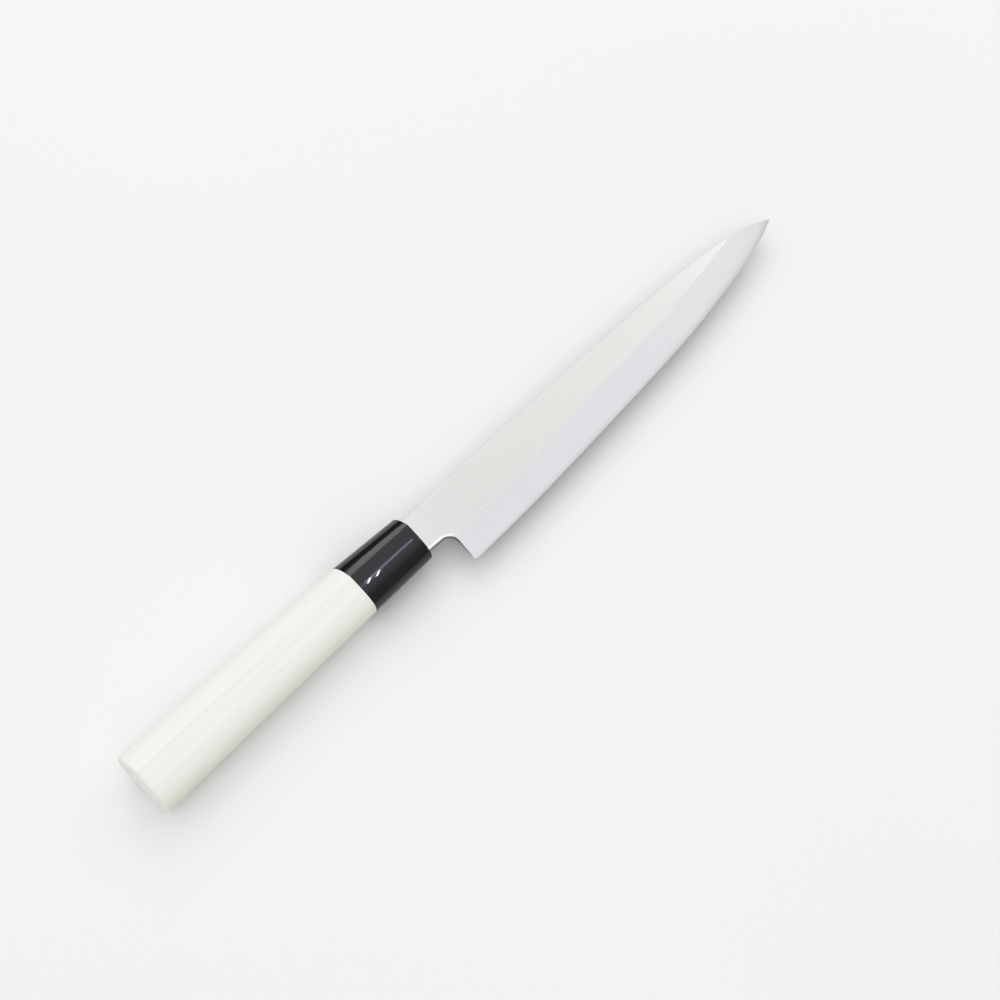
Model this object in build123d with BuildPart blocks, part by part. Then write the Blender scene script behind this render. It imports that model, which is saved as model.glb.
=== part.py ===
from build123d import *
from math import sqrt
import os

os.makedirs("parts", exist_ok=True)

# A yanagiba, the long single bevel slicing knife, lying level with its bevelled face up.
# +X runs from the butt to the tip, +Y from the cutting edge to the spine, +Z up.
# The origin is the bottom centre of the knife's bounding box. All sizes are millimetres.

# Blade, seen from above
blade_length = 212.0
heel_height = 28.0
neck_length = 10.0
neck_height = 14.2
neck_flare = 0.6
heel_rake = 1.4
heel_corner_radius = 4.0
neck_easing = 0.5

# Blade, across its thickness
spine_thickness = 2.3
distal_taper = 0.6
koba_width = 1.0
koba_height = 0.42
edge_thickness = 0.12
back_rim = 3.4
hollow_radius = 200.0
hollow_fade = 0.15

# Tang. At its root and at its end, drop is how far its upper side lies below the spine line and rise how
# far its underside lies above the neck's.
neck_entry = 3.5
tang_length = 76.0
tang_root_drop = 2.2
tang_root_rise = 2.0
tang_end_drop = 3.4
tang_end_rise = 4.8
tang_root_height = neck_height - tang_root_drop - tang_root_rise
tang_end_height = neck_height - tang_end_drop - tang_end_rise

# Ferrule
ferrule_length = 28.0
ferrule_wall = 1.7
ferrule_front_wall = 4.2
ferrule_front_rounding = 0.4
slot_clearance = 0.1

# Handle
handle_length = 122.0
spigot_clearance = 0.05
spigot_end_gap = 0.4
butt_rounding = 1.4
ridge_rounding = 1.5
bedding_gap = 0.9
bedding_end = 2.0

# Chestnut sections of the ferrule's face, of the joint and of the butt. From the axis, spine_side and
# edge_side are the half heights, ridge_side and flat_side the half thicknesses and ridge_offset the place
# of the ridge. axis_drop is how far the axis lies below the spine line. The section ends slot_margin below
# the neck at the face and joint_margin below it at the joint.
face_axis_drop = 6.2
joint_axis_drop = 6.0
slot_margin = 2.3
joint_margin = 2.4
face_section = {
    "spine_side": 9.1,
    "edge_side": neck_height + slot_margin - face_axis_drop,
    "ridge_side": 8.2,
    "flat_side": 7.8,
    "ridge_offset": 1.4,
    "axis_drop": face_axis_drop,
}
joint_section = {
    "spine_side": 10.7,
    "edge_side": neck_height + joint_margin - joint_axis_drop,
    "ridge_side": 8.5,
    "flat_side": 8.1,
    "ridge_offset": 1.6,
    "axis_drop": joint_axis_drop,
}
butt_section = {
    "spine_side": 12.4,
    "edge_side": 11.5,
    "ridge_side": 9.5,
    "flat_side": 9.1,
    "ridge_offset": 1.9,
    "axis_drop": 5.7,
}

# How many even steps the cuts that shape the blade are laid out in
cut_steps = 16

# How many edges are eased under the neck: two straight ones and an arc on each face
neck_edge_count = 6

# Shares that shape the chestnut section: how full its sides are, how far the ridge's tangents reach and how
# steeply each flank leaves the ridge. The oval share makes a cubic curve follow a quarter of an ellipse.
side_share = 0.55
flank_share = 0.5
spine_slope_share = 0.25
edge_slope_share = 0.38
oval_share = 0.5523

# The blade's outline at stations from the heel to the tip: the station as a share of the way between them,
# then the depths of the spine, of the shinogi ridge and of the cutting edge below the straight spine line,
# as shares of heel_height. Past the place where the shinogi meets the spine it runs on outside the blade.
outline_shares = [
    (0.0000, -0.003, 0.584, 1.000),
    (0.1468, -0.010, 0.582, 0.996),
    (0.3204, -0.005, 0.523, 0.956),
    (0.4940, 0.014, 0.464, 0.900),
    (0.6677, 0.042, 0.370, 0.818),
    (0.8016, 0.101, 0.268, 0.703),
    (0.8909, 0.172, 0.189, 0.605),
    (0.9504, 0.256, 0.146, 0.507),
    (1.0000, 0.393, 0.114, 0.393),
]

# How far a cut runs past the solid that it cuts, and what share of its width the bevel is carried on
overrun = 2.0
carry_share = 0.15

# Places in the knife's own frame
face_x = handle_length - (handle_length + blade_length) / 2
handle_rise = butt_section["spine_side"] - butt_section["axis_drop"]
spine_y = (heel_height - handle_rise) / 2
middle_z = butt_section["flat_side"]
half_thickness = spine_thickness / 2


def cross_plane(along, drop=0):
    """The plane across the knife, its own X towards the spine and its own Y up."""
    return Plane(
        origin=(face_x + along, spine_y - drop, middle_z),
        x_dir=(0, 1, 0),
        z_dir=(1, 0, 0),
    )


def outline_rows():
    """Distance from the ferrule's face and the heights of spine, shinogi and edge at each station."""
    edge_length = blade_length - neck_length
    return [
        (neck_length + along * edge_length, *[-depth * heel_height for depth in depths])
        for along, *depths in outline_shares
    ]


rows = outline_rows()
outline_curves = [Edge.make_spline([(row[0], row[column]) for row in rows]) for column in (1, 2, 3)]
heel_root_x = neck_length + heel_rake
blade_plane = Plane(origin=(face_x, spine_y, middle_z))
length_plane = Plane(origin=(face_x, spine_y, middle_z), x_dir=(1, 0, 0), z_dir=(0, -1, 0))


def hira_height(along):
    """Height above the middle plane of the flat upper face, which falls from the heel to the tip."""
    return half_thickness - distal_taper * (along - heel_root_x) / (blade_length - heel_root_x)


def neck_underside(along):
    """Height of the neck's underside, which drops by neck_flare from the ferrule's face to the heel."""
    return -neck_height - neck_flare * along / heel_root_x


def curve_height(curve, along):
    """Height at which a curve of the outline crosses a station along the blade."""
    station = Edge.make_line((along, -2 * heel_height), (along, 2 * heel_height))
    return curve.intersect(station).vertices()[0].Y


def cut_stations():
    """Even stations along the blade: the place and the heights of spine, shinogi and edge at each."""
    step = (blade_length - neck_length) / cut_steps
    places = [neck_length + step * index for index in range(1, cut_steps)]
    between = [(along, *[curve_height(curve, along) for curve in outline_curves]) for along in places]
    return [rows[0], *between, rows[-1]]


def extended(first, second):
    """The station one step past the first of two, in line with both."""
    return tuple(2 * near - far for near, far in zip(first, second))


def bevel_section(along, shinogi, edge):
    """Across the blade, all that is ground away above the wide bevel and the micro bevel.

    The wide bevel is carried on past the shinogi, and the micro bevel past the cutting edge.
    """
    ridge = Vector(shinogi, hira_height(along))
    koba = Vector(edge + koba_width, koba_height - half_thickness)
    apex = Vector(edge, edge_thickness - half_thickness)
    start = ridge + (ridge - koba) * carry_share
    end = apex + (apex - koba)
    top = spine_thickness + overrun
    with BuildSketch(cross_plane(along)) as section:
        with BuildLine():
            Polyline(start, koba, end, (end.X, top), (start.X, top), close=True)
        make_face()
    return section.sketch


def hollow_depth(spine, edge):
    """How deep the back is hollowed where the arc ends at the two rims."""
    return ((spine - edge) / 2 - back_rim) ** 2 / (2 * hollow_radius)


def hollow_section(along, spine, edge, depth):
    """Across the hollow of the back: a shallow arc between the two rims, closed below the blade."""
    height = depth + overrun
    half_width = sqrt(2 * hollow_radius * height - height * height)
    centre = (spine + edge) / 2
    base = -half_thickness - overrun
    with BuildSketch(cross_plane(along)) as section:
        with BuildLine():
            ThreePointArc(
                (centre - half_width, base),
                (centre, base + height),
                (centre + half_width, base),
            )
            Line((centre + half_width, base), (centre - half_width, base))
        make_face()
    return section.sketch


def chestnut_section(along, sizes, inset):
    """Across the handle: a soft ridge between two flanks above, half an oval below."""
    spine = sizes["spine_side"] - inset
    edge = inset - sizes["edge_side"]
    top = sizes["ridge_side"] - inset
    bottom = inset - sizes["flat_side"]
    ridge = sizes["ridge_offset"]
    spine_reach = flank_share * (spine - ridge)
    edge_reach = flank_share * (ridge - edge)
    with BuildSketch(cross_plane(along, sizes["axis_drop"])) as section:
        with BuildLine():
            Bezier(
                (spine, 0),
                (spine, side_share * top),
                (ridge + spine_reach, top - spine_slope_share * spine_reach),
                (ridge, top),
            )
            Bezier(
                (ridge, top),
                (ridge - edge_reach, top - edge_slope_share * edge_reach),
                (edge, side_share * top),
                (edge, 0),
            )
            Bezier((edge, 0), (edge, oval_share * bottom), (oval_share * edge, bottom), (0, bottom))
            Bezier((0, bottom), (oval_share * spine, bottom), (spine, oval_share * bottom), (spine, 0))
        make_face()
    return section.sketch


def bore_section(along, height, drop):
    """Across the hole for the tang, which is wider than the tang by the bedding's gap all round."""
    with BuildSketch(cross_plane(along, drop + height / 2)) as section:
        Rectangle(height + 2 * bedding_gap, spine_thickness + 2 * bedding_gap)
    return section.sketch


stations = cut_stations()
bevel_rows = [extended(stations[0], stations[1]), *stations, extended(stations[-1], stations[-2])]
hollow_rows = [
    (along, spine, edge, hollow_depth(spine, edge)) for along, spine, shinogi, edge in stations[:-1]
]
for end in (0, -1):
    hollow_rows[end] = (*hollow_rows[end][:-1], -hollow_fade)

# What the grinding of the wide bevel and of the micro bevel takes away, from the heel's corner to the tip
with BuildPart() as bevel_waste:
    loft([bevel_section(along, shinogi, edge) for along, spine, shinogi, edge in bevel_rows])
    split(bisect_by=cross_plane(heel_root_x - heel_corner_radius), keep=Keep.TOP)

# Blade: plan outline of the blade, neck and tang in one sheet of the spine's thickness
with BuildPart() as blade:
    with BuildSketch(blade_plane) as outline:
        with BuildLine():
            Spline(
                (0, 0),
                *[(along, spine) for along, spine, shinogi, edge in rows],
                tangents=[(1, 0), (rows[-1][0] - rows[-2][0], rows[-1][1] - rows[-2][1])],
                tangent_scalars=[1, 1],
            )
            Spline([(along, edge) for along, spine, shinogi, edge in rows])
            Polyline(
                (neck_length, rows[0][3]),
                (heel_root_x, neck_underside(heel_root_x)),
                (-neck_entry, neck_underside(-neck_entry)),
                (-neck_entry, -tang_root_drop - tang_root_height),
                (-tang_length, -tang_end_drop - tang_end_height),
                (-tang_length, -tang_end_drop),
                (-neck_entry, -tang_root_drop),
                (-neck_entry, 0),
                (0, 0),
            )
        make_face()
        corner = outline.vertices().sort_by_distance((heel_root_x, neck_underside(heel_root_x)))[0]
        fillet(corner, heel_corner_radius)
    extrude(amount=half_thickness, both=True)

    # The edges under the neck and round the heel's corner are eased.
    heel_corner = (face_x + heel_root_x, spine_y + neck_underside(heel_root_x), middle_z)
    eased = blade.edges().filter_by(Plane.XY).sort_by_distance(heel_corner)[:neck_edge_count]
    fillet(eased, neck_easing)

    # The flat upper face falls towards the tip.
    with BuildSketch(length_plane):
        with BuildLine():
            Polyline(
                (heel_root_x, half_thickness),
                (blade_length + overrun, hira_height(blade_length + overrun)),
                (blade_length + overrun, half_thickness + overrun),
                (heel_root_x, half_thickness + overrun),
                close=True,
            )
        make_face()
    extrude(amount=2 * heel_height, both=True, mode=Mode.SUBTRACT)

    # The wide bevel and the micro bevel along the edge
    add(bevel_waste.part, mode=Mode.SUBTRACT)

    # The hollow ground back leaves a flat rim all round and fades out at both of its ends.
    loft([hollow_section(*row) for row in hollow_rows], mode=Mode.SUBTRACT)
blade.part.label = "blade"
export_step(blade.part, "parts/blade.step")


# Ferrule: a moulded cup that carries the chestnut shape from the joint to its front face
with BuildPart() as ferrule:
    loft(
        [
            chestnut_section(-ferrule_length, joint_section, 0),
            chestnut_section(0, face_section, 0),
        ],
        ruled=True,
    )
    fillet(ferrule.edges().sort_by(Axis.Z)[-1], ridge_rounding)
    front_face = ferrule.faces().sort_by(Axis.X)[-1]
    fillet(front_face.edges(), ferrule_front_rounding)

    # Bore for the handle's spigot
    loft(
        [
            chestnut_section(-ferrule_length, joint_section, ferrule_wall),
            chestnut_section(-ferrule_front_wall, face_section, ferrule_wall),
        ],
        ruled=True,
        mode=Mode.SUBTRACT,
    )

    # Slot for the neck
    with BuildSketch(cross_plane(overrun, neck_height / 2)):
        Rectangle(neck_height + 2 * slot_clearance, spine_thickness + 2 * slot_clearance)
    extrude(amount=-(ferrule_front_wall + 2 * overrun), mode=Mode.SUBTRACT)
ferrule.part.label = "ferrule"
export_step(ferrule.part, "parts/ferrule.step")

# Bored hole for the tang, from the spigot's end face
bore_start = -(ferrule_front_wall + spigot_end_gap)
bore_end = -(tang_length + bedding_end)
bore_sections = [
    bore_section(bore_end, tang_end_height, tang_end_drop),
    bore_section(bore_start, tang_root_height, tang_root_drop),
]

# Handle: one piece of wood with the spigot in front
with BuildPart() as handle:
    loft(
        [
            chestnut_section(-handle_length, butt_section, 0),
            chestnut_section(-ferrule_length, joint_section, 0),
        ],
        ruled=True,
    )
    fillet(handle.edges().sort_by(Axis.Z)[-1], ridge_rounding)
    butt_face = handle.faces().sort_by(Axis.X)[0]
    fillet(butt_face.edges(), butt_rounding)
    loft(
        [
            chestnut_section(-ferrule_length, joint_section, ferrule_wall + spigot_clearance),
            chestnut_section(-ferrule_front_wall, face_section, ferrule_wall + spigot_clearance),
        ],
        ruled=True,
    )
    split(bisect_by=cross_plane(bore_start), keep=Keep.BOTTOM)
    loft(bore_sections, ruled=True, mode=Mode.SUBTRACT)
handle.part.label = "handle"
export_step(handle.part, "parts/handle.step")

# Bedding: the set adhesive that fills the hole around the tang
with BuildPart() as tang_bedding:
    loft(bore_sections, ruled=True)
    add(blade.part, mode=Mode.SUBTRACT)
tang_bedding.part.label = "tang_bedding"
export_step(tang_bedding.part, "parts/tang_bedding.step")
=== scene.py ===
from math import atan2, cos, pi, radians, sin, tan

import bpy
import numpy as np
from mathutils import Euler, Matrix, Vector
from mathutils.geometry import delaunay_2d_cdt


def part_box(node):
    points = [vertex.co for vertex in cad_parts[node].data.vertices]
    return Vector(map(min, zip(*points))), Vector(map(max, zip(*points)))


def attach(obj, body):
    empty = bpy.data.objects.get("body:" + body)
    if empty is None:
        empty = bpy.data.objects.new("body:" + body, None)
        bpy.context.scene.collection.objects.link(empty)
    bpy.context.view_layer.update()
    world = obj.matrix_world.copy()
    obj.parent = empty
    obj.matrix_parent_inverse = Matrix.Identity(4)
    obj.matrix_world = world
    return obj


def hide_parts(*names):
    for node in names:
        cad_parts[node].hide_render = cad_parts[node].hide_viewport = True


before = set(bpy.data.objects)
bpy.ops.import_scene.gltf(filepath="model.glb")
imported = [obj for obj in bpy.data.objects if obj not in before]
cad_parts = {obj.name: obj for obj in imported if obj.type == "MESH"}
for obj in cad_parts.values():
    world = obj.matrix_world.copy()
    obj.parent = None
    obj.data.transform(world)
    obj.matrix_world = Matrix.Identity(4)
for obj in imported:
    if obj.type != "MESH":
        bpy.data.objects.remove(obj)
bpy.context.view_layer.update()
scene = bpy.context.scene

# A yanagiba lying level with its bevelled face up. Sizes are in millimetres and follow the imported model.
# A place on the knife is (along, up, high): from the ferrule's face towards the tip, from the spine line
# towards the spine's side, and up from the middle plane of the blade.
mm = 0.001

# Blade
blade_length = 212.0
heel_height = 28.0
neck_length = 10.0
neck_height = 14.2
neck_flare = 0.6
heel_rake = 1.4
heel_corner_radius = 4.0
spine_thickness = 2.3
distal_taper = 0.6
koba_width = 1.0
koba_height = 0.42
edge_thickness = 0.12
back_rim = 3.4
hollow_radius = 200.0
half_thickness = spine_thickness / 2
heel_root = neck_length + heel_rake

# Easing of the blade's edges. The shinogi's strip narrows from the ferrule's face as far as strip_reach, and
# the last of the cutting edge is honed steeper at the heel, less and less as far as hone_reach from it.
spine_easing = 0.14
neck_band = 0.95
neck_easing = 0.25
neck_band_slope = radians(18)
strip_width = 0.42
strip_narrow = 0.12
strip_reach = 110.0
bevel_roll = 2.0
koba_roll = 0.45
hone_width = 0.5
hone_slope = radians(21)
hone_reach = 22.0

# Tang
neck_entry = 3.5
tang_length = 76.0
tang_root_height = 10.0
tang_end_height = 6.0
tang_root_drop = 2.2
tang_end_drop = 3.4

# Ferrule and handle
ferrule_length = 28.0
ferrule_wall = 1.7
ferrule_front_wall = 4.2
ferrule_front_rounding = 0.4
slot_clearance = 0.1
handle_length = 122.0
spigot_clearance = 0.05
spigot_end_gap = 0.4
butt_rounding = 1.4
ridge_rounding = 1.5
joint_easing = 0.12
bedding_gap = 0.9
bedding_end = 2.0

# Chestnut sections: half heights towards the spine and the edge, half thicknesses at the ridge and at the
# flat side, the ridge's place, and how far the section's axis lies below the spine line
face_section = {
    "spine_side": 9.1,
    "edge_side": 10.3,
    "ridge_side": 8.2,
    "flat_side": 7.8,
    "ridge_offset": 1.4,
    "axis_drop": 6.2,
}
joint_section = {
    "spine_side": 10.7,
    "edge_side": 10.6,
    "ridge_side": 8.5,
    "flat_side": 8.1,
    "ridge_offset": 1.6,
    "axis_drop": 6.0,
}
butt_section = {
    "spine_side": 12.4,
    "edge_side": 11.5,
    "ridge_side": 9.5,
    "flat_side": 9.1,
    "ridge_offset": 1.9,
    "axis_drop": 5.7,
}
side_share = 0.55
flank_share = 0.5
spine_slope_share = 0.25
edge_slope_share = 0.38
oval_share = 0.5523

# The blade's outline from the heel to the tip: the station, then the depths of the spine, of the shinogi
# ridge and of the cutting edge below the spine line, as shares of heel_height
outline_shares = [
    (0.0000, -0.003, 0.584, 1.000),
    (0.1468, -0.010, 0.582, 0.996),
    (0.3204, -0.005, 0.523, 0.956),
    (0.4940, 0.014, 0.464, 0.900),
    (0.6677, 0.042, 0.370, 0.818),
    (0.8016, 0.101, 0.268, 0.703),
    (0.8909, 0.172, 0.189, 0.605),
    (0.9504, 0.256, 0.146, 0.507),
    (1.0000, 0.393, 0.114, 0.393),
]

# Where the knife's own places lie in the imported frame, how close two places count as one, and how far the
# skins of the ferrule and the handle stay inside their sections
face_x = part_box("ferrule")[1].x / mm
middle_z = (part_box("blade")[0].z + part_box("blade")[1].z) / 2 / mm
spine_y = (heel_height - butt_section["spine_side"] + butt_section["axis_drop"]) / 2
near_nothing = 1e-4
skin_inset = 0.02

# How finely the surfaces are laid out: stations along the blade, with closer ones over its last tip_reach,
# points on the heel's corner and line, on a quarter of a chestnut ring and on an eased edge, and rings along
# the ferrule and the handle
station_step = 1.5
tip_reach = 14.0
tip_count = 22
neck_step = 1.0
corner_count = 25
heel_count = 16
quarter_count = 40
rounding_count = 9
ferrule_ring_count = 12
handle_ring_count = 30
sharp_angle = radians(30)

# The finishes of the blade's faces, in the order of its materials. The fourth is steel painted dark as shade,
# and the third and fifth carry a painted highlight besides their polish.
satin, ground, strip, painted_dark, neck = range(5)


def place(points):
    """Places on the knife, in millimetres, as places in the frame, in metres."""
    return (np.asarray(points, float) + (face_x, spine_y, middle_z)) * mm


def make_piece(name, points, faces, slot_name, node):
    """A mesh piece that rides on the knife and stands for one CAD node."""
    mesh = bpy.data.meshes.new(name)
    mesh.from_pydata([tuple(point) for point in place(points)], [], faces)
    mesh.validate()
    piece = bpy.data.objects.new(name, mesh)
    scene.collection.objects.link(piece)
    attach(piece, "root")
    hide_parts(node)
    return piece


def shade(piece):
    """Smooth shading with sharp edges wherever the surface turns by more than sharp_angle."""
    piece.data.polygons.foreach_set("use_smooth", [True] * len(piece.data.polygons))
    piece.data.set_sharp_from_angle(angle=sharp_angle)


# Blade: curves

def spline(xs, ys, start_slope=None, end_slope=None):
    """A cubic spline through points, natural at an end where no slope is given, as a function."""
    xs, ys = np.asarray(xs, float), np.asarray(ys, float)
    steps, rises = np.diff(xs), np.diff(ys) / np.diff(xs)
    count = len(xs)
    matrix, right = np.zeros((count, count)), np.zeros(count)
    for i in range(1, count - 1):
        matrix[i, i - 1:i + 2] = steps[i], 2 * (steps[i - 1] + steps[i]), steps[i - 1]
        right[i] = 3 * (steps[i] * rises[i - 1] + steps[i - 1] * rises[i])
    matrix[0, :2] = (2, 1) if start_slope is None else (1, 0)
    right[0] = 3 * rises[0] if start_slope is None else start_slope
    matrix[-1, -2:] = (1, 2) if end_slope is None else (0, 1)
    right[-1] = 3 * rises[-1] if end_slope is None else end_slope
    slopes = np.linalg.solve(matrix, right)

    def curve(x):
        x = np.asarray(x, float)
        i = np.clip(np.searchsorted(xs, x) - 1, 0, count - 2)
        t = np.clip((x - xs[i]) / steps[i], 0, 1)
        inside = (
            (1 + 2 * t) * (1 - t) ** 2 * ys[i]
            + t * (1 - t) ** 2 * steps[i] * slopes[i]
            + t ** 2 * (3 - 2 * t) * ys[i + 1]
            + t ** 2 * (t - 1) * steps[i] * slopes[i + 1]
        )
        return inside + np.minimum(x - xs[0], 0) * slopes[0] + np.maximum(x - xs[-1], 0) * slopes[-1]

    return curve


stations = [neck_length + row[0] * (blade_length - neck_length) for row in outline_shares]
spine_depths, shinogi_depths, edge_depths = (
    [-row[column] * heel_height for row in outline_shares] for column in (1, 2, 3)
)
tip_slope = (spine_depths[-1] - spine_depths[-2]) / (stations[-1] - stations[-2])
spine_line = spline([0, *stations], [0, *spine_depths], 0, tip_slope)
shinogi_line = spline(stations, shinogi_depths)
edge_line = spline(stations, edge_depths)


# Blade: heights

def hira_height(x):
    """Height of the flat upper face above the middle plane, which falls from the heel to the tip."""
    return half_thickness - distal_taper * np.maximum(x - heel_root, 0) / (blade_length - heel_root)


def ground_height(x, y):
    """Height of the wide bevel and the micro bevel, with a soft roll between them."""
    ridge_y, ridge_z = shinogi_line(x), hira_height(x)
    koba_y, koba_z = edge_line(x) + koba_width, koba_height - half_thickness
    bevel_slope = (ridge_z - koba_z) / (ridge_y - koba_y)
    koba_slope = (koba_height - edge_thickness) / koba_width
    past = koba_y - y
    bevel = koba_z - past * bevel_slope
    koba = koba_z - past * koba_slope
    roll = bevel_roll + koba_roll
    share = np.clip((past + bevel_roll) / roll, 0, 1)
    turn = (koba_slope - bevel_slope) * roll
    rolled = koba_z + bevel_roll * bevel_slope - share * roll * bevel_slope - turn * share ** 2 / 2
    meets = koba_z - koba_roll * koba_slope
    lowered = koba + koba_z - koba_roll * bevel_slope - turn / 2 - meets
    height = np.where(past < koba_roll, rolled, lowered)
    height = np.where(past < -bevel_roll, bevel, height)
    near_heel = np.clip(1 - (x - neck_length) / hone_reach, 0, 1)
    edge_band = np.clip(hone_width - (y - edge_line(x)), 0, hone_width)
    return height - near_heel * edge_band * (tan(hone_slope) - koba_slope)


def half_strip(x):
    """Half the width of the polished strip along the shinogi ridge."""
    return (strip_narrow + (strip_width - strip_narrow) * np.clip(1 - x / strip_reach, 0, 1)) / 2


def strip_height(x, y):
    """Height of the narrow polished strip that eases the shinogi ridge."""
    upper = hira_height(x)
    lower = ground_height(x, shinogi_line(x) - half_strip(x))
    return upper + (lower - upper) * (shinogi_line(x) + half_strip(x) - y) / (2 * half_strip(x))


def hollow_depth(x, y):
    """How deep the hollow ground back is, zero on the flat rim all round."""
    middle = (spine_line(x) + edge_line(x)) / 2
    reach = np.maximum((spine_line(x) - edge_line(x)) / 2 - back_rim, 0)
    fade = np.clip((x - neck_length) / back_rim, 0, 1)
    return np.maximum((reach ** 2 - (y - middle) ** 2) / (2 * hollow_radius), 0) * fade


def distance_to_path(points, path):
    """Distance of each point from a path of straight pieces."""
    best = np.full(len(points), np.inf)
    for start, end in zip(path[:-1], path[1:]):
        reach = end - start
        share = np.clip(((points - start) @ reach) / (reach @ reach), 0, 1)
        best = np.minimum(best, np.linalg.norm(points - start - share[:, None] * reach, axis=1))
    return best


def round_drop(distance, radius):
    """How far a quarter round edge drops at a distance from the outline."""
    near = np.clip(1 - distance / radius, 0, 1)
    return radius * (1 - np.sqrt(1 - near ** 2))


# Blade: outline

def neck_underside(along):
    """Height of the neck's underside, which drops by neck_flare from the ferrule's face to the heel."""
    return -neck_height - neck_flare * along / heel_root


def heel_path():
    """The underside of the neck, the round corner and the heel, from the tang to the cutting edge."""
    corner = np.array((heel_root, neck_underside(heel_root)))
    heel_end = np.array((neck_length, edge_line(neck_length)))
    down = (heel_end - corner) / np.linalg.norm(heel_end - corner)
    back = np.array((-heel_root, neck_flare)) / np.hypot(heel_root, neck_flare)
    half_turn = np.arccos(down @ back) / 2
    reach = heel_corner_radius / tan(half_turn)
    middle = corner + (down + back) / np.linalg.norm(down + back) * heel_corner_radius / sin(half_turn)
    first, last = corner + back * reach, corner + down * reach
    start_angle = atan2(*(first - middle)[::-1])
    end_angle = atan2(*(last - middle)[::-1])
    angles = np.linspace(start_angle, end_angle, corner_count)
    arc = [middle + heel_corner_radius * np.array((cos(angle), sin(angle))) for angle in angles]
    places = np.arange(-neck_entry, first[0] - neck_step / 2, neck_step)
    straight = [np.array((x, neck_underside(x))) for x in places]
    heel = [last + (heel_end - last) * share for share in np.linspace(0, 1, heel_count)[1:]]
    return np.array([*straight, *arc, *heel])


def offset_path(path, distance):
    """A path moved sideways to its right hand by a distance."""
    along = np.gradient(path, axis=0)
    along /= np.linalg.norm(along, axis=1)[:, None]
    return path + np.column_stack((along[:, 1], -along[:, 0])) * distance


heel_outline = heel_path()
along_blade = np.unique(np.concatenate((
    np.arange(heel_root, blade_length - tip_reach, station_step),
    np.linspace(blade_length - tip_reach, blade_length, tip_count),
)))
along_spine = np.concatenate((np.arange(0, heel_root, station_step), along_blade))
spine_outline = np.column_stack((along_spine, spine_line(along_spine)))
edge_outline = np.column_stack((along_blade, edge_line(along_blade)))
tang_outline = np.array([
    (0.0, 0.0),
    (-neck_entry, 0.0),
    (-neck_entry, -tang_root_drop),
    (-tang_length, -tang_end_drop),
    (-tang_length, -tang_end_drop - tang_end_height),
    (-neck_entry, -tang_root_drop - tang_root_height),
])


def rail(curve, stations_along):
    """A line along the blade at the height that a curve gives."""
    return np.column_stack((stations_along, curve(stations_along)))


# Where the rails lie: as shares of the way across the bevel, the roll and the flat, of the easing of an edge,
# with one rail past it that keeps the flat beside it flat, and of the neck's band
bevel_shares = (0, 0.2, 0.4, 0.6, 0.8, 1)
roll_shares = (0.25, 0.5, 0.75, 1)
flat_shares = (0.33, 0.66, 1)
easing_shares = (0.02, 0.13, 0.4, 1.0, 1.6)
band_shares = (0.5, 1.0)


def blade_rails():
    """The lines that the blade's surfaces are laid out on."""
    between = [
        lambda x, share=share: (shinogi_line(x) - half_strip(x)) * (1 - share)
        + (edge_line(x) + koba_width + bevel_roll) * share
        for share in bevel_shares
    ]
    rolls = [
        lambda x, share=share: edge_line(x) + koba_width + bevel_roll - share * (bevel_roll + koba_roll)
        for share in roll_shares
    ]
    rolls.append(lambda x: edge_line(x) + hone_width)
    flats = [
        lambda x, share=share: spine_line(x) * (1 - share) + (shinogi_line(x) + half_strip(x)) * share
        for share in flat_shares
    ]
    hollows = [
        lambda x, side=side: (spine_line(x) + edge_line(x)) / 2
        + side * np.maximum((spine_line(x) - edge_line(x)) / 2 - back_rim, 0)
        for side in (1, -1)
    ]
    lines = [rail(curve, along_blade) for curve in (*flats, *between, *rolls, *hollows)]
    for share in easing_shares:
        lines.append(offset_path(spine_outline, share * spine_easing))
        lines.append(offset_path(heel_outline, -share * neck_easing))
    for share in band_shares:
        lines.append(offset_path(heel_outline, -share * neck_band))
    return lines


def inside(points, outline):
    """Which points lie inside a closed outline."""
    within = np.zeros(len(points), bool)
    for (x0, y0), (x1, y1) in zip(outline, np.roll(outline, -1, axis=0)):
        if y0 == y1:
            continue
        crosses = (y0 > points[:, 1]) != (y1 > points[:, 1])
        crossing = x0 + (points[:, 1] - y0) * (x1 - x0) / (y1 - y0)
        within ^= crosses & (points[:, 0] < crossing)
    return within


def lay_out_blade():
    """The blade's plan as triangles between its outline and its rails."""
    outline = np.vstack((spine_outline, edge_outline[-2::-1], heel_outline[-2::-1], tang_outline[::-1]))
    outline = outline[np.linalg.norm(outline - np.roll(outline, 1, axis=0), axis=1) > near_nothing]
    points = [Vector(point) for point in outline]
    edges = [(i, (i + 1) % len(points)) for i in range(len(points))]
    for line in blade_rails():
        first = len(points)
        points += [Vector(point) for point in line]
        edges += [(i, i + 1) for i in range(first, len(points) - 1)]
    corners, _, triangles, *_ = delaunay_2d_cdt(points, edges, [], 0, near_nothing)
    corners = np.array([tuple(corner) for corner in corners])
    triangles = np.array([tuple(triangle) for triangle in triangles])
    triangles = triangles[inside(corners[triangles].mean(axis=1), outline)]
    used = np.unique(triangles)
    number = np.zeros(len(corners), int)
    number[used] = np.arange(len(used))
    return corners[used], number[triangles]


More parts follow.
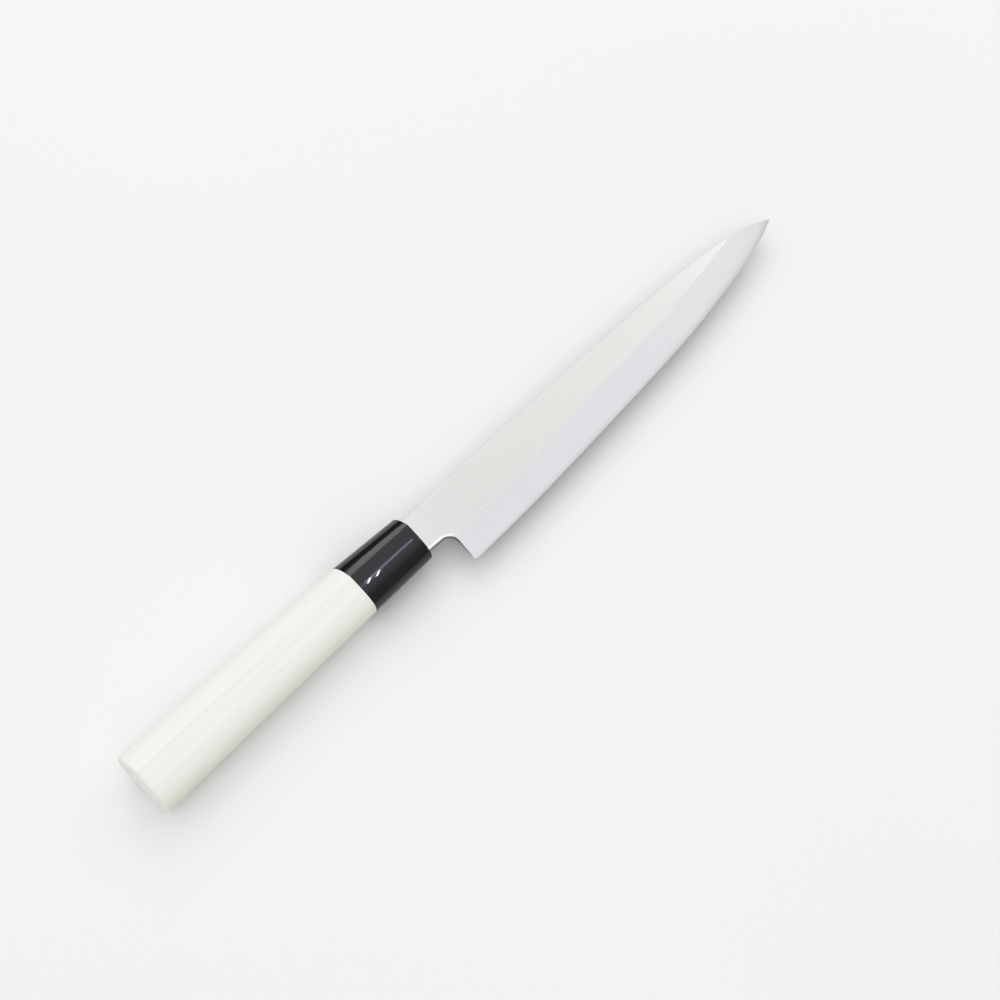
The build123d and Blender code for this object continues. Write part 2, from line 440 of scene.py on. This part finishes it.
def blade_heights(plan):
    """Heights of the upper and the lower surface over the plan."""
    x, y = plan.T
    below = shinogi_line(x) - y
    upper = np.where(below < half_strip(x), strip_height(x, y), ground_height(x, y))
    upper = np.where(below < -half_strip(x), hira_height(x), upper)
    lower = -half_thickness + hollow_depth(x, y)
    thickness = upper - lower
    from_spine = distance_to_path(plan, spine_outline)
    from_heel = distance_to_path(plan, heel_outline)
    band = neck_band * (1 - np.clip(below / strip_width, 0, 1))
    slope = np.maximum(band - np.maximum(from_heel, neck_easing), 0) * tan(neck_band_slope)
    eased = np.maximum(round_drop(from_spine, spine_easing), round_drop(from_heel, neck_easing))
    eased = np.minimum(eased, thickness / 3)
    upper = upper - eased - slope
    return upper, np.minimum(lower + eased, upper - edge_thickness / 2)


def blade_regions(plan, triangles):
    """The finish of each triangle of the upper surface."""
    middle = plan[triangles].mean(axis=1)
    x, y = middle.T
    below = shinogi_line(x) - y
    finish = np.where(below > -half_strip(x), strip, satin)
    finish = np.where(below > half_strip(x), ground, finish)
    banded = (distance_to_path(middle, heel_outline) < neck_band) & (below < half_strip(x))
    return np.where(banded, neck, finish)


def make_blade():
    """Blade with its neck and tang, in five steels, one of them painted dark as shade."""
    plan, triangles = lay_out_blade()
    upper, lower = blade_heights(plan)
    count = len(plan)
    points = np.vstack((np.column_stack((plan, upper)), np.column_stack((plan, lower))))
    first, second, third = plan[triangles].transpose(1, 0, 2)
    one_side, other_side = second - first, third - first
    turned = one_side[:, 0] * other_side[:, 1] < one_side[:, 1] * other_side[:, 0]
    triangles[turned] = triangles[turned][:, ::-1]
    sides = np.vstack((triangles[:, [0, 1]], triangles[:, [1, 2]], triangles[:, [2, 0]]))
    paired = set(map(tuple, sides))
    rim = [(a, b) for a, b in sides if (b, a) not in paired]
    walls = [(b, a, a + count, b + count) for a, b in rim]
    faces = [tuple(t) for t in triangles] + [tuple(t[::-1] + count) for t in triangles] + walls
    faces = [tuple(map(int, face)) for face in faces]
    piece = make_piece("blade_steel_body", points, faces, "blade_steel", "blade")
    under_neck = distance_to_path(plan, heel_outline) < near_nothing
    # The sides under the neck and round the heel get the steel painted dark, as painted shade.
    wall_finishes = [painted_dark if under_neck[a] and under_neck[b] else satin for a, b in rim]
    finishes = [*blade_regions(plan, triangles), *[satin] * len(triangles), *wall_finishes]
    piece.data.polygons.foreach_set("material_index", finishes)
    piece.data.polygons.foreach_set("use_smooth", [True] * len(piece.data.polygons))
    # from_edge is the distance from the cutting edge, which the bevel's painted shade reads.
    from_edge = distance_to_path(plan, edge_outline)
    layer = piece.data.attributes.new("from_edge", "FLOAT", "POINT")
    layer.data.foreach_set("value", [*from_edge, *from_edge])
    sharpen_borders(piece)
    return piece


def sharpen_borders(piece):
    """Marks the edges between two finishes as sharp."""
    mesh = piece.data
    finish_at = {}
    for face in mesh.polygons:
        for key in face.edge_keys:
            finish_at.setdefault(key, set()).add(face.material_index)
    sharp = [len(finish_at[edge.key]) > 1 for edge in mesh.edges]
    layer = mesh.attributes.get("sharp_edge") or mesh.attributes.new("sharp_edge", "BOOLEAN", "EDGE")
    layer.data.foreach_set("value", sharp)


# Ferrule and handle

def bezier(points, shares):
    """Points on a cubic curve at shares of its way."""
    start, first, second, end = (np.array(point, float) for point in points)
    t = np.asarray(shares)[:, None]
    return (1 - t) ** 3 * start + 3 * (1 - t) ** 2 * t * first + 3 * (1 - t) * t ** 2 * second + t ** 3 * end


# Steps round a quarter of a ring: even, or crowded at the end or the start where that is the ridge
quarter_steps = np.arange(quarter_count) / quarter_count
crowded_at_end = np.sin(quarter_steps * pi / 2)
crowded_at_start = 1 - np.cos(quarter_steps * pi / 2)


def chestnut_ring(along, sizes, inset, rounding=0.0):
    """A ring across the handle or the ferrule: a ridge between two flanks above, half an oval below."""
    inset += skin_inset
    spine = sizes["spine_side"] - inset
    edge = inset - sizes["edge_side"]
    top = sizes["ridge_side"] - inset
    bottom = inset - sizes["flat_side"]
    ridge = sizes["ridge_offset"]
    spine_reach = flank_share * (spine - ridge)
    edge_reach = flank_share * (ridge - edge)
    spine_tangent = (ridge + spine_reach, top - spine_slope_share * spine_reach)
    edge_tangent = (ridge - edge_reach, top - edge_slope_share * edge_reach)
    spine_flank = [(spine, 0), (spine, side_share * top), spine_tangent, (ridge, top)]
    edge_flank = [(ridge, top), edge_tangent, (edge, side_share * top), (edge, 0)]
    edge_oval = [(edge, 0), (edge, oval_share * bottom), (oval_share * edge, bottom), (0, bottom)]
    spine_oval = [(0, bottom), (oval_share * spine, bottom), (spine, oval_share * bottom), (spine, 0)]
    ring = np.vstack((
        bezier(spine_flank, crowded_at_end),
        bezier(edge_flank, crowded_at_start),
        bezier(edge_oval, quarter_steps),
        bezier(spine_oval, quarter_steps),
    ))
    if rounding:
        ring = round_ridge(ring, np.array((ridge, top)), rounding)
    return np.column_stack((np.full(len(ring), along), ring[:, 0] - sizes["axis_drop"], ring[:, 1]))


def round_ridge(ring, corner, radius):
    """The ring with its ridge rounded: what lies within the tangents' reach is brought onto a circle."""
    spine_way = np.array((1, -spine_slope_share)) / np.hypot(1, spine_slope_share)
    edge_way = np.array((-1, -edge_slope_share)) / np.hypot(1, edge_slope_share)
    half_turn = (pi - np.arccos(spine_way @ edge_way)) / 2
    inward = (spine_way + edge_way) / np.linalg.norm(spine_way + edge_way)
    middle = corner + inward * radius / cos(half_turn)
    near = np.linalg.norm(ring - corner, axis=1) < radius * tan(half_turn)
    spoke = ring - middle
    return np.where(near[:, None], middle + spoke / np.linalg.norm(spoke, axis=1)[:, None] * radius, ring)


def blend_sections(first, second, share):
    """The section at a share of the way from one section to another."""
    return {key: first[key] + (second[key] - first[key]) * share for key in first}


def slot_ring(along, low, high, half_width, around):
    """A rectangle across the knife with as many points as the ring around it, seen from its middle."""
    middle = (low + high) / 2
    half_height = (high - low) / 2
    ways = around[:, 1:] - (middle, 0)
    sideways = np.maximum(np.abs(ways[:, 1]), near_nothing)
    reach = np.minimum(half_height / np.abs(ways[:, 0]), half_width / sideways)
    rectangle = ways * reach[:, None]
    for side, face in ((1, 1), (-1, 1), (-1, -1), (1, -1)):
        corner = (side * half_height, face * half_width)
        rectangle[np.argmin(np.linalg.norm(rectangle - corner, axis=1))] = corner
    return np.column_stack((np.full(len(around), along), rectangle[:, 0] + middle, rectangle[:, 1]))


def skin(rings, closed):
    """Quads between neighbouring rings, with flat ends, or joined into one loop of rings."""
    count = len(rings[0])
    faces = []
    pairs = list(zip(range(len(rings) - 1), range(1, len(rings))))
    if closed:
        pairs.append((len(rings) - 1, 0))
    else:
        faces.append(tuple(range(count)))
        faces.append(tuple(reversed(range((len(rings) - 1) * count, len(rings) * count))))
    for near, far in pairs:
        for i in range(count):
            j = (i + 1) % count
            faces.append((near * count + j, near * count + i, far * count + i, far * count + j))
    return np.vstack(rings), faces


def ferrule_section(along):
    """The section at a place along the ferrule."""
    return blend_sections(face_section, joint_section, -along / ferrule_length)


def handle_section(along):
    """The section at a place along the handle."""
    share = (-along - ferrule_length) / (handle_length - ferrule_length)
    return blend_sections(joint_section, butt_section, share)


def make_ferrule():
    """The moulded cup, with its bore, its front wall and the slot for the neck."""
    rounding = ferrule_front_rounding
    rings = [
        chestnut_ring(-ferrule_length, joint_section, ferrule_wall),
        chestnut_ring(-ferrule_length, joint_section, joint_easing, ridge_rounding),
    ]
    for along in np.linspace(-ferrule_length + joint_easing, -rounding, ferrule_ring_count):
        rings.append(chestnut_ring(along, ferrule_section(along), 0, ridge_rounding))
    for angle in np.linspace(0, pi / 2, rounding_count)[1:]:
        along = -rounding + rounding * sin(angle)
        inset = rounding * (1 - cos(angle))
        rings.append(chestnut_ring(along, ferrule_section(along), inset, ridge_rounding))
    slot_low, slot_high = -neck_height - slot_clearance, slot_clearance
    slot_half = half_thickness + slot_clearance
    rings.append(slot_ring(0, slot_low, slot_high, slot_half, rings[-1]))
    rings.append(slot_ring(-ferrule_front_wall, slot_low, slot_high, slot_half, rings[-2]))
    rings.append(chestnut_ring(-ferrule_front_wall, face_section, ferrule_wall))
    piece = make_piece("ferrule_cup", *skin(rings, True), "ferrule_plastic", "ferrule")
    shade(piece)
    return piece


def from_ridge(points):
    """How far each point lies from the ridge: 0 on it, -1 at the spine's side and 1 at the edge's side."""
    along, up, _ = points.T
    section = handle_section(along)
    ridge = section["ridge_offset"]
    offset = ridge - up - section["axis_drop"]
    reach = np.where(offset < 0, section["spine_side"] - ridge, section["edge_side"] + ridge)
    return np.clip(offset / reach, -1, 1)


def make_handle():
    """The wooden handle, with the spigot for the ferrule and the bored hole for the tang."""
    rings = []
    for angle in np.linspace(pi / 2, 0, rounding_count):
        along = -handle_length + butt_rounding * (1 - sin(angle))
        inset = butt_rounding * (1 - cos(angle))
        rings.append(chestnut_ring(along, handle_section(along), inset, ridge_rounding))
    first, last = -handle_length + butt_rounding, -ferrule_length - joint_easing
    for along in np.linspace(first, last, handle_ring_count)[1:]:
        rings.append(chestnut_ring(along, handle_section(along), 0, ridge_rounding))
    rings.append(chestnut_ring(-ferrule_length, joint_section, joint_easing, ridge_rounding))
    spigot_inset = ferrule_wall + spigot_clearance
    bore_start = -ferrule_front_wall - spigot_end_gap
    end_share = spigot_end_gap / (ferrule_length - ferrule_front_wall)
    end_section = blend_sections(face_section, joint_section, end_share)
    rings.append(chestnut_ring(-ferrule_length, joint_section, spigot_inset))
    rings.append(chestnut_ring(bore_start, end_section, spigot_inset))
    half_width = half_thickness + bedding_gap
    root_low = -tang_root_drop - tang_root_height - bedding_gap
    end_low = -tang_end_drop - tang_end_height - bedding_gap
    rings.append(slot_ring(bore_start, root_low, -tang_root_drop + bedding_gap, half_width, rings[-1]))
    bore_end = -tang_length - bedding_end
    rings.append(slot_ring(bore_end, end_low, -tang_end_drop + bedding_gap, half_width, rings[-2]))
    points, faces = skin(rings, False)
    piece = make_piece("handle_grip", points, faces, "handle_wood", "handle")
    # from_ridge also drives the wood's painted light and shade across the handle.
    layer = piece.data.attributes.new("from_ridge", "FLOAT", "POINT")
    layer.data.foreach_set("value", from_ridge(points))
    shade(piece)
    return piece


# Materials

class Look:
    """A material whose nodes are laid by short calls."""

    def __init__(self, name):
        self.material = bpy.data.materials.new(name)
        self.material.use_nodes = True
        self.tree = self.material.node_tree
        self.shader = self.tree.nodes["Principled BSDF"]

    def set(self, **values):
        """Numbers on the shader's own sockets."""
        for name, value in values.items():
            self.shader.inputs[name.replace("_", " ")].default_value = value

    def node(self, kind, **properties):
        """A new node with its properties set."""
        made = self.tree.nodes.new(kind)
        for name, value in properties.items():
            setattr(made, name, value)
        return made

    def link(self, source, target):
        self.tree.links.new(source, target)

    def feed(self, source, socket_name):
        """A link to one of the shader's sockets."""
        self.link(source, self.shader.inputs[socket_name])

    def own_place(self):
        """The object's own coordinates, in metres."""
        return self.node("ShaderNodeTexCoord").outputs["Object"]

    def stretched(self, scale, offset=(0, 0, 0)):
        """The object's coordinates, in millimetres, scaled differently along each axis and then moved."""
        mapping = self.node("ShaderNodeMapping")
        mapping.inputs["Scale"].default_value = [value / mm for value in scale]
        mapping.inputs["Location"].default_value = offset
        self.link(self.own_place(), mapping.inputs["Vector"])
        return mapping.outputs["Vector"]

    def noise(self, scale, detail=2.0, roughness=0.5):
        """Noise with a feature about as long as one over the scale, in millimetres, along each axis."""
        made = self.node("ShaderNodeTexNoise")
        made.inputs["Scale"].default_value = 1.0
        made.inputs["Detail"].default_value = detail
        made.inputs["Roughness"].default_value = roughness
        self.link(self.stretched(scale), made.inputs["Vector"])
        return made.outputs["Fac"]

    def ramp(self, source, stops):
        """A colour for each value, from stops of a position and a colour."""
        made = self.node("ShaderNodeValToRGB")
        elements = made.color_ramp.elements
        while len(elements) < len(stops):
            elements.new(0.5)
        for element, (position, colour) in zip(elements, stops):
            element.position = position
            element.color = (*colour, 1)
        self.link(source, made.inputs["Fac"])
        return made.outputs["Color"]

    def spread(self, source, low, high, source_low=0.3, source_high=0.7):
        """A value brought from its own range, noise's unless it is given, to another one."""
        made = self.node("ShaderNodeMapRange")
        ends = {"From Min": source_low, "From Max": source_high, "To Min": low, "To Max": high}
        for name, value in ends.items():
            made.inputs[name].default_value = value
        self.link(source, made.inputs["Value"])
        return made.outputs["Result"]

    def tinted(self, colour, *tints, share=1.0):
        """A colour multiplied by each tint, or by a share of it."""
        for tint in tints:
            made = self.node("ShaderNodeMix", data_type="RGBA", blend_type="MULTIPLY")
            made.inputs[0].default_value = share
            self.link(colour, made.inputs[6])
            self.link(tint, made.inputs[7])
            colour = made.outputs[2]
        return colour

    def along_blade(self):
        """How far each point lies along the blade: 0 at the ferrule's face, 1 at the tip."""
        split = self.node("ShaderNodeSeparateXYZ")
        self.link(self.own_place(), split.inputs["Vector"])
        start = face_x * mm
        return self.spread(split.outputs["X"], 0.0, 1.0, start, start + blade_length * mm)

    def stored(self, name):
        """A value that the mesh keeps at its points."""
        return self.node("ShaderNodeAttribute", attribute_name=name).outputs["Fac"]

    def bump(self, source, depth):
        """Relief of a depth in millimetres."""
        made = self.node("ShaderNodeBump")
        made.inputs["Distance"].default_value = depth * mm
        made.inputs["Strength"].default_value = 1.0
        self.link(source, made.inputs["Height"])
        self.feed(made.outputs["Normal"], "Normal")


def satin_steel():
    """The flat face: stainless steel with hairlines along the blade, and painted light and shade along its
    length.
    """
    look = Look("satin_steel")
    look.set(Metallic=1.0)
    hairs = look.noise((0.03, 9.0, 9.0), detail=3.0, roughness=0.6)
    clouds = look.noise((0.02, 0.09, 0.09), detail=2.0)
    steel = look.ramp(hairs, [(0.3, (0.638, 0.630, 0.614)), (0.7, (0.661, 0.653, 0.637))])
    uneven = look.ramp(clouds, [(0.3, (0.985, 0.985, 0.985)), (0.7, (1.0, 1.0, 1.0))])
    # Painted light and shade along the blade: lighter and bluer by the ferrule, then darker and lighter again
    # in steps towards the tip.
    painted_light_along_blade = look.ramp(look.along_blade(), [
        (0.0, (0.961, 0.971, 1.0)),
        (0.05, (0.930, 0.934, 0.943)),
        (0.12, (0.921, 0.921, 0.925)),
        (0.45, (0.943, 0.943, 0.943)),
        (0.68, (0.930, 0.930, 0.932)),
        (0.8, (0.943, 0.945, 0.950)),
    ])
    look.feed(look.tinted(steel, uneven, painted_light_along_blade), "Base Color")
    look.feed(look.spread(hairs, 0.26, 0.32), "Roughness")
    look.bump(hairs, 0.001)
    return look.material


def ground_steel():
    """The wide bevel: steel ground across, from the ridge to the edge, with painted shade that darkens it
    near the cutting edge and towards the tip.
    """
    look = Look("ground_steel")
    look.set(Metallic=1.0)
    cuts = look.noise((6.0, 0.12, 0.12), detail=3.0, roughness=0.6)
    clouds = look.noise((0.05, 0.05, 0.05), detail=2.0)
    steel = look.ramp(cuts, [(0.3, (0.639, 0.644, 0.659)), (0.7, (0.655, 0.660, 0.675))])
    uneven = look.ramp(clouds, [(0.3, (0.985, 0.985, 0.985)), (0.7, (1.0, 1.0, 1.0))])
    # Painted shade along the cutting edge: darker over the last 1.8 mm.
    edge_band = look.ramp(look.spread(look.stored("from_edge"), 0.0, 1.0, 0.0, 1.8), [
        (0.0, (0.845, 0.84, 0.825)),
        (0.45, (0.93, 0.928, 0.92)),
        (1.0, (1.0, 1.0, 1.0)),
    ])
    # Painted light and shade along the bevel: a little darker over its first half, lightest about two thirds
    # along, darker and warmer towards the tip.
    painted_shade_to_tip = look.ramp(look.along_blade(), [
        (0.45, (0.980, 0.985, 0.990)),
        (0.68, (1.0, 1.0, 1.0)),
        (0.8, (0.985, 0.975, 0.965)),
        (0.9, (0.955, 0.940, 0.935)),
        (1.0, (0.935, 0.917, 0.907)),
    ])
    look.feed(look.tinted(steel, uneven, edge_band, painted_shade_to_tip), "Base Color")
    look.feed(look.spread(cuts, 0.23, 0.28), "Roughness")
    look.bump(cuts, 0.0006)
    return look.material


def polished_steel_with_painted_highlight(name, low, high):
    """Steel that was eased and polished by hand, between two colours that are lighter than the satin face:
    partly the polish, partly a painted highlight.
    """
    look = Look(name)
    look.set(Metallic=1.0)
    marks = look.noise((0.4, 4.0, 4.0), detail=2.0)
    look.feed(look.ramp(marks, [(0.3, low), (0.7, high)]), "Base Color")
    look.feed(look.spread(marks, 0.16, 0.22), "Roughness")
    return look.material


def painted_dark_steel():
    """The narrow sides under the neck and round the heel: dull steel whose colour is painted dark, as painted
    shade.
    """
    look = Look("painted_dark_steel")
    look.set(Metallic=1.0)
    scale = look.noise((1.5, 1.5, 6.0), detail=3.0)
    look.feed(look.ramp(scale, [(0.3, (0.20, 0.20, 0.21)), (0.7, (0.28, 0.28, 0.29))]), "Base Color")
    look.feed(look.spread(scale, 0.4, 0.55), "Roughness")
    return look.material


def black_plastic():
    """The ferrule: glossy black, with the slight waviness of a moulding."""
    look = Look("black_plastic")
    look.set(IOR=1.46)
    sinks = look.noise((0.07, 0.16, 0.16), detail=1.0)
    scuffs = look.noise((0.9, 2.5, 2.5), detail=3.0)
    black = look.ramp(sinks, [(0.3, (0.0050, 0.0050, 0.0072)), (0.7, (0.0070, 0.0070, 0.0100))])
    look.feed(black, "Base Color")
    look.feed(look.spread(scuffs, 0.012, 0.024), "Roughness")
    look.bump(sinks, 0.01)
    return look.material


# How far the pith lies from the knife's middle, as the growth rings count
pith_offset = (0.0, 4.6, 7.2)


def pale_wood():
    """Magnolia wood: growth rings about a pith beside the handle, fine fibres and short pores, with painted
    light and shade across its section.
    """
    look = Look("pale_wood")
    rings = look.node("ShaderNodeTexWave", wave_type="RINGS", rings_direction="X", wave_profile="SIN")
    for name, value in {"Scale": 1.0, "Distortion": 3.0, "Detail": 2.0, "Detail Scale": 0.6}.items():
        rings.inputs[name].default_value = value
    look.link(look.stretched((0.004, 0.105, 0.105), pith_offset), rings.inputs["Vector"])
    fibres = look.noise((0.06, 1.3, 1.3), detail=3.0, roughness=0.6)
    pores = look.noise((0.22, 5.5, 5.5), detail=1.0)
    bands = look.ramp(rings.outputs["Fac"], [
        (0.0, (0.904, 0.906, 0.885)),
        (0.85, (0.896, 0.897, 0.870)),
        (1.0, (0.885, 0.885, 0.850)),
    ])
    streaks = look.ramp(fibres, [
        (0.32, (0.970, 0.970, 0.955)),
        (0.5, (0.988, 0.988, 0.980)),
        (0.68, (0.996, 0.996, 0.992)),
    ])
    flecks = look.ramp(pores, [(0.24, (0.93, 0.92, 0.88)), (0.34, (1.0, 1.0, 1.0))])
    # Painted light and shade across the handle: lightest just past the ridge, darker and yellower down both
    # sides, most on the edge's side.
    painted_shade_across = look.ramp(look.spread(look.stored("from_ridge"), 0.0, 1.0, -1.0, 1.0), [
        (0.0, (0.945, 0.950, 0.905)),
        (0.15, (0.952, 0.952, 0.942)),
        (0.44, (0.956, 0.956, 0.950)),
        (0.5, (0.975, 0.975, 0.970)),
        (0.58, (1.0, 1.0, 1.0)),
        (0.74, (1.0, 1.0, 0.995)),
        (0.9, (0.970, 0.976, 0.935)),
        (1.0, (0.920, 0.935, 0.850)),
    ])
    look.feed(look.tinted(look.tinted(bands, streaks, painted_shade_across), flecks, share=0.5), "Base Color")
    look.feed(look.spread(fibres, 0.66, 0.52), "Roughness")
    look.bump(fibres, 0.012)
    look.set(Specular_IOR_Level=0.35)
    return look.material


def set_resin():
    """The set adhesive around the tang."""
    look = Look("set_resin")
    clouds = look.noise((0.5, 0.5, 0.5), detail=3.0)
    look.feed(look.ramp(clouds, [(0.3, (0.62, 0.54, 0.36)), (0.7, (0.72, 0.64, 0.46))]), "Base Color")
    look.feed(look.spread(clouds, 0.45, 0.6), "Roughness")
    return look.material


# Scene: floor, light and camera

# In metres: half the floor's side, and the place on the ferrule that the small lamps face
floor_reach = 6.0
ferrule_flank = (-0.060, 0.002, 0.016)

# Camera: its place in millimetres, its angles in degrees, its lens and its sensor in millimetres
camera_place = (-218.957, -144.821, 438.811)
camera_angles = (29.7276, -4.4769, -48.7882)
lens = 50.0
sensor_width = 36.0

# Tent: its level at the horizon and overhead, and its gap at each side, with the azimuth and elevation of the
# gap's middle, how far its edge and its core lie from there, and its level. The light that the tent casts
# fades from the higher of light_angles to the lower one, where light_low is left of it.
tent_low = 0.90
tent_high = 1.18
near_gap = {"place": (-66, 30), "angles": (32, 12), "level": 0.33}
far_gap = {"place": (68, 0), "angles": (24, 15), "level": 0.1}
light_angles = (10, 26)
light_low = 0.1

# Lamps, in metres and degrees: the place that each large one faces, then for all of them the azimuth and
# elevation at which they stand from there, their size, their level, where 1 is white, and their colour. The
# small ones face the ferrule's flank and are turned on their own axis by small_lamp_turn.
white = (1, 1, 1)
large_lamp_distance = 1.6
large_lamps = {
    "softbox": ((0, 0, 0), (47, 40), (1.34, 0.93), 0.2, white),
    "strip_lamp": (ferrule_flank, (60, 38), (0.45, 0.95), 1.25, white),
    "tip_lamp": ((0.1, 0, 0.01), (15, 39), (0.3, 0.3), 1.2, (0.92, 0.97, 1.0)),
    "fill_lamp": ((0, 0, 0), (-140, 45), (1.2, 1.2), 0.2, white),
}
small_lamp_distance = 1.3
small_lamp_turn = 45
small_lamps = {
    "side_lamp": ((-45.5, 59.8), (0.014, 0.1), 4.6, (0.62, 0.66, 1.0)),
    "glow_lamp": ((-45.6, 59.7), (0.05, 0.13), 0.7, (0.6, 0.64, 1.0)),
    "first_spot_lamp": ((-48.9, 59.7), (0.04, 0.003), 60.0, (0.93, 0.95, 1.0)),
    "second_spot_lamp": ((-49.25, 60.5), (0.04, 0.003), 60.0, (0.93, 0.95, 1.0)),
}


def make_floor():
    """A plain pale floor, large enough that the photograph's view doesn't reach its rim."""
    mesh = bpy.data.meshes.new("floor")
    sides = [(-1, -1), (1, -1), (1, 1), (-1, 1)]
    corners = [(across * floor_reach, along * floor_reach, 0) for across, along in sides]
    mesh.from_pydata(corners, [], [(0, 1, 2, 3)])
    floor = bpy.data.objects.new("floor", mesh)
    scene.collection.objects.link(floor)
    look = Look("pale_floor")
    look.set(Roughness=0.9, Specular_IOR_Level=0.1)
    clouds = look.noise((0.004, 0.004, 0.004), detail=1.0)
    look.feed(look.ramp(clouds, [(0.3, (0.838, 0.838, 0.838)), (0.7, (0.848, 0.848, 0.848))]), "Base Color")
    mesh.materials.append(look.material)


def direction(azimuth, elevation):
    """A unit vector by azimuth, from +X towards +Y, and elevation, in degrees."""
    level = cos(radians(elevation))
    return Vector((level * cos(radians(azimuth)), level * sin(radians(azimuth)), sin(radians(elevation))))


def graded(tree, value, low, high, start, end):
    """A smooth step of a value from one level to another."""
    made = tree.nodes.new("ShaderNodeMapRange")
    made.interpolation_type = "SMOOTHSTEP"
    for name, number in {"From Min": low, "From Max": high, "To Min": start, "To Max": end}.items():
        made.inputs[name].default_value = number
    tree.links.new(value, made.inputs["Value"])
    return made.outputs["Result"]


def combined(tree, operation, first, second):
    """Two values brought together by a plain operation."""
    made = tree.nodes.new("ShaderNodeMath")
    made.operation = operation
    tree.links.new(first, made.inputs[0])
    tree.links.new(second, made.inputs[1])
    return made.outputs["Value"]


def gap_at(tree, coordinates, gap):
    """A factor that falls to the gap's level around its place in the tent."""
    towards = tree.nodes.new("ShaderNodeVectorMath")
    towards.operation = "DOT_PRODUCT"
    towards.inputs[1].default_value = direction(*gap["place"])
    tree.links.new(coordinates, towards.inputs[0])
    edge, core = (cos(radians(angle)) for angle in gap["angles"])
    return graded(tree, towards.outputs["Value"], edge, core, 1.0, gap["level"])


def make_world():
    """A light tent that is pale down to the horizon, with its light from high up and a gap at each side."""
    world = bpy.data.worlds.new("tent")
    scene.world = world
    world.use_nodes = True
    tree = world.node_tree
    coordinates = tree.nodes.new("ShaderNodeTexCoord").outputs["Generated"]
    split = tree.nodes.new("ShaderNodeSeparateXYZ")
    tree.links.new(coordinates, split.inputs["Vector"])
    height = split.outputs["Z"]
    dome = graded(tree, height, 0.0, 1.0, tent_low, tent_high)
    dark_below, lit_above = (sin(radians(angle)) for angle in light_angles)
    lit = graded(tree, height, dark_below, lit_above, light_low, 1.0)
    rays = tree.nodes.new("ShaderNodeLightPath").outputs
    gaps = combined(tree, "MULTIPLY", *(gap_at(tree, coordinates, gap) for gap in (near_gap, far_gap)))
    gaps = combined(tree, "MAXIMUM", gaps, rays["Is Camera Ray"])
    seen = combined(tree, "MAXIMUM", rays["Is Camera Ray"], rays["Is Glossy Ray"])
    seen = combined(tree, "MAXIMUM", seen, rays["Is Transmission Ray"])
    reach = combined(tree, "MAXIMUM", lit, seen)
    strength = combined(tree, "MULTIPLY", combined(tree, "MULTIPLY", dome, gaps), reach)
    tent = tree.nodes["Background"]
    tent.inputs["Color"].default_value = (1, 1, 1, 1)
    tree.links.new(strength, tent.inputs["Strength"])


def make_lamp(name, aim, stands_at, distance, size, level, colour, turn=0):
    """A soft lamp that faces a place on the knife and stands at an azimuth and an elevation from there."""
    data = bpy.data.lights.new(name, "AREA")
    data.shape = "RECTANGLE"
    data.size, data.size_y = size
    data.energy = 4 * level * size[0] * size[1]
    data.color = colour
    lamp = bpy.data.objects.new(name, data)
    scene.collection.objects.link(lamp)
    way = direction(*stands_at)
    lamp.location = Vector(aim) + way * distance
    facing = (-way).to_track_quat("-Z", "Y").to_matrix()
    lamp.rotation_euler = (facing @ Matrix.Rotation(radians(turn), 3, "Z")).to_euler()


def make_camera():
    """The photograph's viewing angle: above the handle's side, looking along the blade."""
    data = bpy.data.cameras.new("camera")
    data.lens = lens
    data.sensor_width = sensor_width
    camera = bpy.data.objects.new("camera", data)
    scene.collection.objects.link(camera)
    camera.location = [value * mm for value in camera_place]
    camera.rotation_euler = Euler([radians(angle) for angle in camera_angles])
    scene.camera = camera


scene.view_settings.view_transform = "Standard"
make_camera()
make_world()
for name, (aim, stands_at, size, level, colour) in large_lamps.items():
    make_lamp(name, aim, stands_at, large_lamp_distance, size, level, colour)
for name, (stands_at, size, level, colour) in small_lamps.items():
    make_lamp(name, ferrule_flank, stands_at, small_lamp_distance, size, level, colour, small_lamp_turn)
make_floor()

blade = make_blade()
# The shinogi's strip and the neck's band are lighter than the satin face: partly polish, partly painted
# highlight, most on the neck.
strip_steel = polished_steel_with_painted_highlight("strip_steel", (0.665, 0.665, 0.662), (0.690, 0.690, 0.687))
neck_steel = polished_steel_with_painted_highlight("neck_steel", (0.750, 0.752, 0.745), (0.775, 0.777, 0.770))
for steel in (satin_steel(), ground_steel(), strip_steel, painted_dark_steel(), neck_steel):
    blade.data.materials.append(steel)
ferrule = make_ferrule()
ferrule.data.materials.append(black_plastic())
handle = make_handle()
handle.data.materials.append(pale_wood())
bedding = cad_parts["tang_bedding"]
bedding.data.materials.clear()
bedding.data.materials.append(set_resin())
